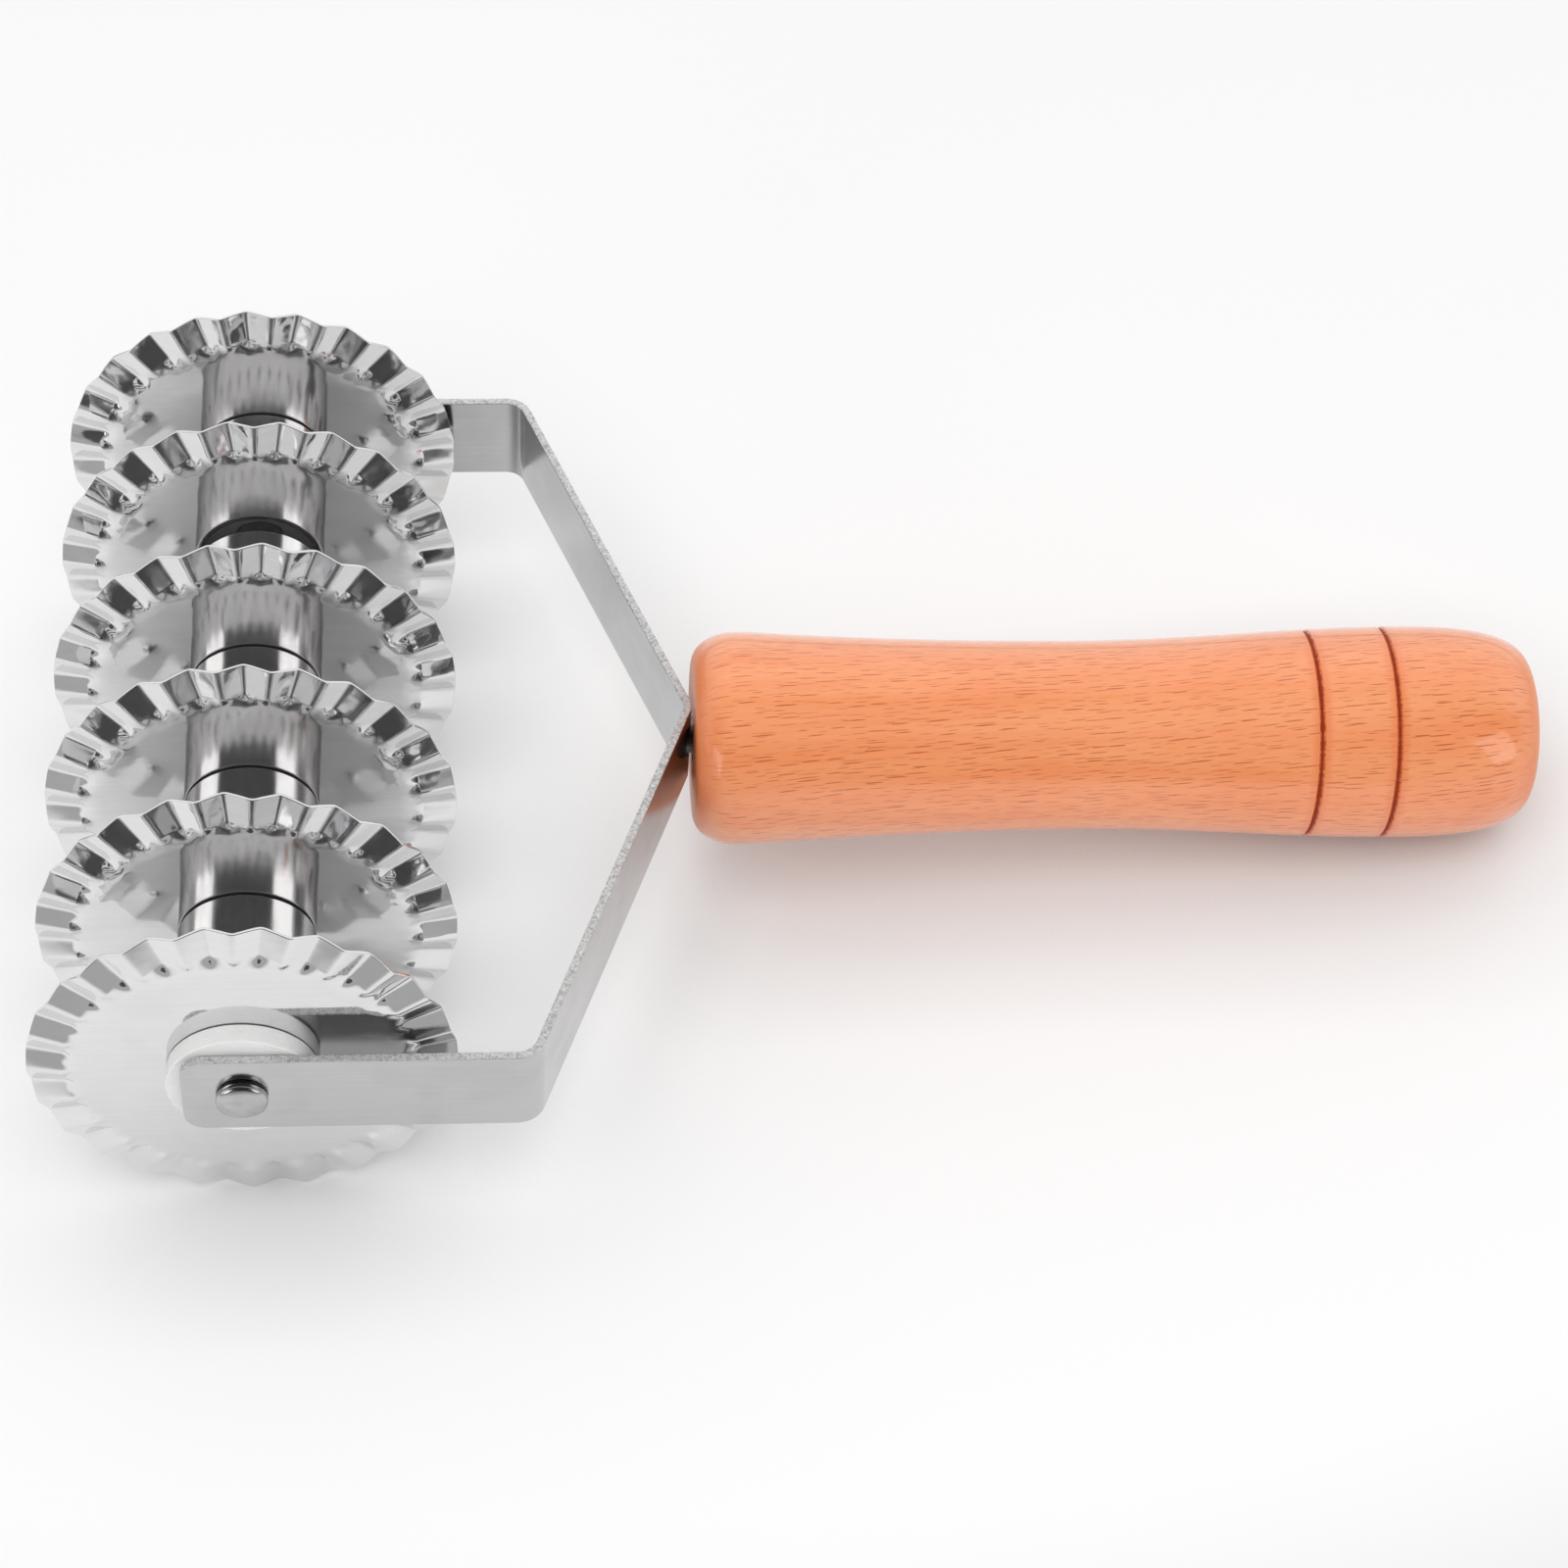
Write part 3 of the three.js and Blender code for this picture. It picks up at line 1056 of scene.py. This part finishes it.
@dataclass
class AxlePin:
    """The axle with a low domed rivet head outside each arm."""

    placement: Placement
    radius: float = 3.0
    head_radius: float = 3.5
    shoulder: float = 61.85
    rim: float = 0.7
    dome: float = 0.9
    dome_steps: int = 6
    crown: float = 0.3
    edge: float = 0.12
    edge_steps: int = 2
    eased_over: float = 60.0
    sharp: float = 40.0
    sides: int = 64

    def build(self, steel: Material) -> Piece:
        """Model, place and dress the pin.

        Args:
            steel: The pin's material.

        Returns:
            The pin.
        """
        length = 2 * self.shoulder * MM
        pin = Bench.rod("riveted_axle", self.sides, self.radius * MM, length, Axis.AXLE, ORIGIN)
        with Bench.editing(pin, Part.FACE):
            for side in (-1.0, 1.0):
                self.head(pin, side)
        Bench.face_outwards(pin)
        Bench.round_edges(pin, self.edge * MM, self.edge_steps, self.eased_over)
        Bench.smooth(pin, self.sharp)
        pin.data.materials.append(steel)
        self.placement.seat(pin)
        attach(pin, "frame")
        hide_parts("axle_pin")
        return pin

    def head(self, pin: Piece, side: float) -> None:
        """Shape the rivet head on one end of the pin.

        Args:
            pin: The pin in edit mode.
            side: Which end, as the sign of its place along the axle.
        """
        Bench.pick(pin, Part.FACE, lambda spot, facing: facing.y * side > SQUARE_ON and spot.y * side > 0.0)
        lip = self.head_radius / self.radius
        Bench.pull()
        Bench.widen((lip, 1.0, lip))
        Bench.pull((0.0, side * self.rim * MM, 0.0))
        wide, high = 1.0, 0.0
        for step in range(1, self.dome_steps + 1):
            turn = math.pi / 2 * step / (self.dome_steps + self.crown)
            rise = self.dome * (math.sin(turn) - high)
            Bench.pull((0.0, side * rise * MM, 0.0))
            Bench.widen((math.cos(turn) / wide, 1.0, math.cos(turn) / wide))
            wide, high = math.cos(turn), math.sin(turn)


@dataclass
class ForkStrip:
    """One bent steel strip: two arms and a wide V that meets the handle."""

    placement: Placement
    thickness: float = 1.2
    width: float = 15.0
    tip: float = -8.0
    tip_corner: float = 3.0
    arm: float = 60.95
    bend_at: Triple = (36.8, 57.55, 0.0)
    bend_steps: int = 10
    apex_at: Triple = (59.3, 0.0, 0.0)
    apex_steps: int = 8
    slope: float = math.radians(20.61)
    axle_hole: float = 3.3
    axle_hole_sides: int = 64
    axle_cut: float = 182.85
    tenon_hole: float = 2.3
    tenon_hole_sides: int = 48
    tenon_cut: float = 20.0
    tip_steps: int = 8
    tip_reach: float = 0.1
    edge: float = 0.28
    edge_steps: int = 3
    eased_over: float = 50.0
    sharp: float = 40.0
    cut_edge: float = 0.5

    def sweep(self, angle: float, steps: int, middle: Triple) -> None:
        """Bend the strip's end round an upright line.

        Args:
            angle: Whole turn in radians.
            steps: Number of straight steps.
            middle: Place of the line in millimetres.
        """
        for _ in range(steps):
            Bench.pull()
            Bench.swing(angle / steps, tuple(value * MM for value in middle))

    def model(self) -> Piece:
        """Model the strip from the near arm's tip, round the V, to the far arm's tip.

        Returns:
            The strip.
        """
        Bench.clear()
        bpy.ops.mesh.primitive_plane_add(
            size=1.0, location=(self.tip * MM, -self.arm * MM, 0.0), rotation=(0.0, math.pi / 2, 0.0)
        )
        bpy.context.active_object.scale = (self.width * MM, self.thickness * MM, 1.0)
        strip = Bench.settle("bent_strip_fork")
        near_bend = (self.bend_at[0], -self.bend_at[1], 0.0)
        bend = math.pi / 2 - self.slope
        run = Vector(self.apex_at) - Vector(near_bend)
        lie = Vector((math.sin(self.slope), math.cos(self.slope), 0.0))
        leg = run.dot(lie) * MM
        arm = (self.bend_at[0] - self.tip) * MM
        with Bench.editing(strip, Part.FACE):
            bpy.ops.mesh.select_all(action="SELECT")
            Bench.pull((arm, 0.0, 0.0))
            self.sweep(bend, self.bend_steps, near_bend)
            Bench.pull(tuple(lie * leg))
            self.sweep(2 * self.slope, self.apex_steps, self.apex_at)
            Bench.pull((-lie.x * leg, lie.y * leg, 0.0))
            self.sweep(bend, self.bend_steps, self.bend_at)
            Bench.pull((-arm, 0.0, 0.0))
        Bench.face_outwards(strip)
        tip = (self.tip + self.tip_reach) * MM
        with Bench.editing(strip, Part.EDGE):
            Bench.pick(strip, Part.EDGE, lambda spot, way: spot.x < tip and abs(way.y) > SQUARE_ON)
            bpy.ops.mesh.bevel(offset=self.tip_corner * MM, segments=self.tip_steps, affect="EDGES")
        return strip

    def build(self, steel: Material, sheared: Material, painted_shade_tang: Material) -> Piece:
        """Model, drill, place and dress the fork, and dress the tang behind it.

        Args:
            steel: Material of the strip's faces.
            sheared: Material of its cut edges.
            painted_shade_tang: Material of the tang, painted near black as shade in the gap behind the fork's
                apex.

        Returns:
            The fork.
        """
        strip = self.model()
        axle_size = (self.axle_hole_sides, self.axle_hole * MM, self.axle_cut * MM)
        Bench.drill(strip, Bench.rod("cutter", *axle_size, Axis.AXLE, ORIGIN))
        tenon_size = (self.tenon_hole_sides, self.tenon_hole * MM, self.tenon_cut * MM)
        apex = (self.apex_at[0] * MM, 0.0, 0.0)
        Bench.drill(strip, Bench.rod("cutter", *tenon_size, Axis.HANDLE, apex))
        Bench.round_edges(strip, self.edge * MM, self.edge_steps, self.eased_over)
        Bench.smooth(strip, self.sharp)
        strip.data.materials.append(steel)
        strip.data.materials.append(sheared)
        with Bench.editing(strip, Part.FACE):
            Bench.pick(strip, Part.FACE, lambda _, facing: abs(facing.z) > self.cut_edge)
            strip.active_material_index = 1
            bpy.ops.object.material_slot_assign()
        self.placement.seat(strip)
        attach(strip, "frame")
        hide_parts("fork_frame")
        frame["nodes"]["handle_tang"].material_slots[0].material = painted_shade_tang
        return strip


@dataclass
class Grip:
    """The turned beech handle with a rounded nose, a waist and two grooves."""

    placement: Placement
    front: float = 62.8
    bore: float = 3.3
    bore_depth: float = 60.0
    nose_radius: float = 15.35
    nose_round: float = 4.35
    nose_edge: float = 6.0
    taper_start: float = 8.0
    waist: float = 56.0
    waist_radius: float = 13.7
    swell: float = 103.0
    swell_radius: float = 15.4
    length: float = 121.96
    tail_shoulder: float = 14.0
    tail_crown: float = 2.0
    tail_flat: float = 8.0
    grooves: Pair = (89.1, 100.2)
    groove_width: float = 1.0
    groove_depth: float = 0.5
    groove_curve: float = 0.8
    groove_rings: tuple[float, ...] = (
        -1.25, -1.0, -0.85, -0.5, -0.2, 0.0, 0.2, 0.5, 0.85, 1.0, 1.25,
    )
    bore_rings: tuple[float, ...] = (0.5, 0.01, 0.0)
    ring_gap: float = 2.0
    nose_steps: int = 12
    tail_steps: int = 24
    sharp: float = 40.0
    sides: int = 128

    def radius_at(self, along: float) -> float:
        """Work out the grip's radius between its nose and its tail.

        Args:
            along: Place from the nose in millimetres.

        Returns:
            The radius in millimetres, without the grooves.
        """
        if along < self.taper_start:
            return self.nose_radius
        if along < self.waist:
            share = (self.waist - along) / (self.waist - self.taper_start)
            return self.waist_radius + (self.nose_radius - self.waist_radius) * share * share
        share = (along - self.waist) / (self.swell - self.waist)
        rise = (1 - math.cos(math.pi * share)) / 2
        return self.waist_radius + (self.swell_radius - self.waist_radius) * rise

    def groove_at(self, along: float) -> float:
        """Work out how deep the grooves cut at a place along the grip, in millimetres."""
        away = min(abs(along - groove) for groove in self.grooves) / (self.groove_width / 2)
        return 0.0 if away >= 1.0 else self.groove_depth * (1.0 - away) ** self.groove_curve

    def profile(self) -> list[Pair]:
        """List the radius and the place of each ring, from the bore's end round to the tail.

        Returns:
            Pairs of radius and place along the handle, in millimetres.
        """
        line = [(self.bore, self.bore_depth * share) for share in self.bore_rings]
        for step in range(self.nose_steps + 1):
            turn = math.pi / 2 * step / self.nose_steps
            radius = self.nose_radius - self.nose_round * (1 - math.sin(turn))
            line.append((radius, self.nose_edge * (1 - math.cos(turn))))
        count = math.ceil((self.swell - self.taper_start) / self.ring_gap)
        places = [self.taper_start + self.ring_gap * step for step in range(count)]
        places = [p for p in places if all(abs(p - g) > self.groove_width for g in self.grooves)]
        half = self.groove_width / 2
        places += [groove + half * share for groove in self.grooves for share in self.groove_rings]
        line += [(self.radius_at(p) - self.groove_at(p), p) for p in sorted(places)]
        ends = (
            (self.swell_radius, self.swell),
            (self.swell_radius, self.swell + self.tail_shoulder),
            (self.swell_radius - self.tail_crown, self.length),
            (self.tail_flat, self.length),
        )
        for step in range(self.tail_steps + 1):
            t = step / self.tail_steps
            weights = ((1 - t) ** 3, 3 * t * (1 - t) ** 2, 3 * t * t * (1 - t), t ** 3)
            line.append(tuple(sum(w * end[i] for w, end in zip(weights, ends)) for i in (0, 1)))
        return line

    def build(self, beech: Material) -> Piece:
        """Turn the grip ring by ring, place it and dress it.

        Args:
            beech: The handle's material.

        Returns:
            The grip.
        """
        start = ((self.front + self.bore_depth) * MM, 0.0, 0.0)
        grip = Bench.ring("turned_grip", self.sides, self.bore * MM, Axis.HANDLE, start, True)
        radius, place = self.bore, self.bore_depth
        with Bench.editing(grip, Part.FACE):
            bpy.ops.mesh.select_all(action="SELECT")
            for wide, along in self.profile():
                Bench.pull(((along - place) * MM, 0.0, 0.0))
                Bench.widen((1.0, wide / radius, wide / radius))
                radius, place = wide, along
        Bench.face_outwards(grip)
        Bench.smooth(grip, self.sharp)
        grip.data.materials.append(beech)
        self.placement.seat(grip)
        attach(grip, "frame")
        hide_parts("handle")
        return grip


@dataclass(frozen=True)
class SoftBox:
    """A soft lamp that faces the tool."""

    name: str
    azimuth: float
    elevation: float
    distance: float
    size: Pair
    level: float
    mirrored: bool = True

    def hang(self) -> None:
        """Hang the lamp; its level counts 1 as white, its azimuth from the front towards the handle."""
        turn, lift = math.radians(self.azimuth), math.radians(self.elevation)
        way = Vector((math.sin(turn) * math.cos(lift), -math.cos(turn) * math.cos(lift), math.sin(lift)))
        Bench.clear()
        bpy.ops.object.light_add(
            type="AREA", location=way * self.distance, rotation=way.to_track_quat("Z", "Y").to_euler()
        )
        lamp = bpy.context.active_object
        lamp.name = self.name
        lamp.data.shape = "RECTANGLE"
        lamp.data.size, lamp.data.size_y = self.size
        lamp.data.energy = self.level * math.pi * self.size[0] * self.size[1]
        lamp.visible_glossy = self.mirrored


@dataclass
class Studio:
    """A pale floor, soft boxes at both sides of the camera, pale walls and the photograph's camera.

    Lengths are in metres, apart from floor_drop, sensor and eye, which are in millimetres, and focal, which
    is in pixels of the photograph. The floor carries a painted pool of light: its paint and glow fall off from
    pool_from to pool_to round pool_at, down to shade. Its glow also carries a painted contact shadow that
    darkens it near the tool.
    """

    placement: Placement
    floor_side: float = 6.0
    floor_drop: float = 0.15
    floor_paint: float = 0.92
    floor_glow: float = 0.42
    pool_at: Triple = (-0.02, 0.09, 0.0)
    pool_shape: Triple = (0.7, 1.0, 1.0)
    pool_from: float = 0.2
    pool_to: float = 0.32
    shade: float = 0.42
    painted_shadow_reach: float = 0.03
    painted_shadow_samples: int = 4
    dark_way: Triple = (0.0, -0.8, 0.6)
    dark: float = 0.05
    dark_span: Pair = (0.2, 0.7)
    boxes: tuple[SoftBox, ...] = (
        SoftBox("left_soft_box", -46.0, 15.0, 1.3, (0.55, 0.6), 1.9),
        SoftBox("right_soft_box", 46.0, 18.0, 1.3, (0.45, 0.66), 1.9),
        SoftBox("camera_soft_box", -10.0, 62.0, 2.0, (1.8, 1.8), 2.7, False),
    )
    focal: float = 4249.695
    sensor: float = 36.0
    eye: Triple = (31.7122, -385.8682, 459.487)
    turn: Triple = (0.6892, -0.05, -0.0553)
    nearest: float = 0.01

    def floor(self) -> None:
        """Lay the floor, pale to the camera and in the steel, with its shadows, a painted pool of light and a
        painted contact shadow.
        """
        Bench.clear()
        bpy.ops.mesh.primitive_plane_add(size=self.floor_side, location=(0.0, 0.0, -self.floor_drop * MM))
        floor = Bench.settle("studio_floor")
        material = bpy.data.materials.new("pale_floor")
        material.use_nodes = True
        board = NodeBoard(material.node_tree)
        material.node_tree.nodes.remove(material.node_tree.nodes["Principled BSDF"])
        place = board.add("ShaderNodeTexCoord").outputs["Object"]
        # Painted pool of light: the floor's paint and glow darken away from the tool, down to shade.
        away = board.length(board.stretch(board.offset(place, self.pool_at), self.pool_shape))
        painted_pool_tone = board.span(away, self.pool_from, self.pool_to, 1.0, self.shade)
        rays = board.add("ShaderNodeLightPath").outputs
        shown = board.calc("MAXIMUM", rays["Is Camera Ray"], rays["Is Glossy Ray"])
        shown = board.calc("MAXIMUM", shown, rays["Is Transmission Ray"])
        painted = board.calc("MULTIPLY", painted_pool_tone, self.floor_paint)
        paint = board.add("ShaderNodeBsdfDiffuse", {"Color": painted})
        # Painted contact shadow: ambient occlusion darkens the floor's glow near the tool.
        reach = {"Distance": self.painted_shadow_reach}
        painted_contact_shadow = board.add("ShaderNodeAmbientOcclusion", reach, samples=self.painted_shadow_samples).outputs["AO"]
        glow = board.add("ShaderNodeEmission", {"Color": board.calc("MULTIPLY", painted_pool_tone, painted_contact_shadow)})
        share = board.calc("MULTIPLY", shown, self.floor_glow)
        mix = board.add("ShaderNodeMixShader", {0: share, 1: paint.outputs[0], 2: glow.outputs[0]})
        board.feed(mix.outputs[0], material.node_tree.nodes["Material Output"].inputs[0])
        floor.data.materials.append(material)

    def world(self) -> None:
        """Light the room with pale walls and a dark side round the camera."""
        world = bpy.data.worlds.new("studio_room")
        bpy.context.scene.world = world
        world.use_nodes = True
        board = NodeBoard(world.node_tree)
        way = board.add("ShaderNodeTexCoord").outputs["Generated"]
        aim = {0: way, 1: self.dark_way}
        towards_dark = board.add("ShaderNodeVectorMath", aim, operation="DOT_PRODUCT").outputs["Value"]
        level = board.span(towards_dark, *self.dark_span, 1.0, self.dark)
        backdrop = world.node_tree.nodes["Background"]
        board.feed(level, backdrop.inputs["Strength"])
        backdrop.inputs["Color"].default_value = (1.0, 1.0, 1.0, 1.0)

    def camera(self) -> None:
        """Set up the photograph's camera, which was found in the tool's own frame."""
        Bench.clear()
        dip = Matrix.Rotation(self.placement.tilt, 3, "Y")
        place = self.placement.axle + dip @ (Vector(self.eye) * MM)
        bpy.ops.object.camera_add(location=place, rotation=(dip @ Euler(self.turn).to_matrix()).to_euler())
        camera = bpy.context.active_object
        camera.data.sensor_width = self.sensor
        camera.data.lens = self.focal / IMAGE_SIDE * self.sensor
        camera.data.clip_start = self.nearest
        bpy.context.scene.camera = camera

    def build(self) -> None:
        """Lay the floor, light the room and set up the camera."""
        self.floor()
        self.world()
        for box in self.boxes:
            box.hang()
        self.camera()
        bpy.context.scene.view_settings.view_transform = "Standard"


def main() -> None:
    """Build every piece in order, report it, and set up the studio."""
    logging.basicConfig(level=logging.INFO, format="%(message)s")
    placement = Placement.from_record()
    grip = Grip(placement)
    mirror = PressedSteel(
        "wheel_steel", placement,
        bright=(0.79, 0.79, 0.795), dull=(0.74, 0.74, 0.745), roughness=(0.04, 0.09),
        stretch=(0.06, 0.3, 1.6), marks=0.09, ripple=0.04, haze=0.04,
    ).material()
    turned = Steel(
        "tube_steel", placement,
        bright=(0.68, 0.665, 0.66), dull=(0.6, 0.585, 0.58), roughness=(0.13, 0.21),
        stretch=(0.9, 0.05, 0.9), marks=0.12, ripple=0.012, haze=0.03, rim=0.25,
    ).material()
    satin = Steel(
        "strip_steel", placement,
        bright=(0.57, 0.57, 0.575), dull=(0.51, 0.51, 0.515), roughness=(0.16, 0.22),
        stretch=(0.05, 0.05, 2.2), marks=0.1, ripple=0.008, scratch=0.08,
    ).material()
    peened = Steel(
        "rivet_steel", placement,
        bright=(0.52, 0.52, 0.525), dull=(0.42, 0.42, 0.425), roughness=(0.14, 0.24),
        stretch=(0.3, 0.3, 0.3), marks=0.4, ripple=0.03,
    ).material()
    sheared = Steel(
        "sheared_edge", placement,
        bright=(0.95, 0.95, 0.95), dull=(0.4, 0.4, 0.4), roughness=(0.3, 0.5),
        stretch=(2.4, 2.4, 2.4), marks=2.2, ripple=0.1, scratch=1.0, haze=0.4,
    ).material()
    # The tang's near-black tone is painted shade for the narrow gap between the fork's apex and the handle.
    painted_shade_tang = Steel(
        "painted_shade_tang_steel", placement,
        bright=(0.16, 0.155, 0.15), dull=(0.07, 0.065, 0.06), roughness=(0.4, 0.6),
        stretch=(0.4, 1.6, 1.6), marks=0.4, ripple=0.03,
    ).material()
    nylon = Nylon("white_nylon", placement).material()
    beech = Beech(
        "lacquered_beech", placement, tuple(grip.front + g for g in grip.grooves), grip.groove_width,
        (grip.front, grip.front + grip.length),
    ).material()

    pieces = CuttingWheels(placement).build(mirror)
    pieces += SpacerTubes(placement).build(turned, nylon)
    pieces += EndBushes(placement).build(nylon)
    pieces.append(AxlePin(placement).build(peened))
    pieces.append(ForkStrip(placement).build(satin, sheared, painted_shade_tang))
    pieces.append(grip.build(beech))
    for piece in pieces:
        log.info("%s: %d faces", piece.name, len(piece.data.polygons))
    Studio(placement).build()


if __name__ == "__main__":
    main()
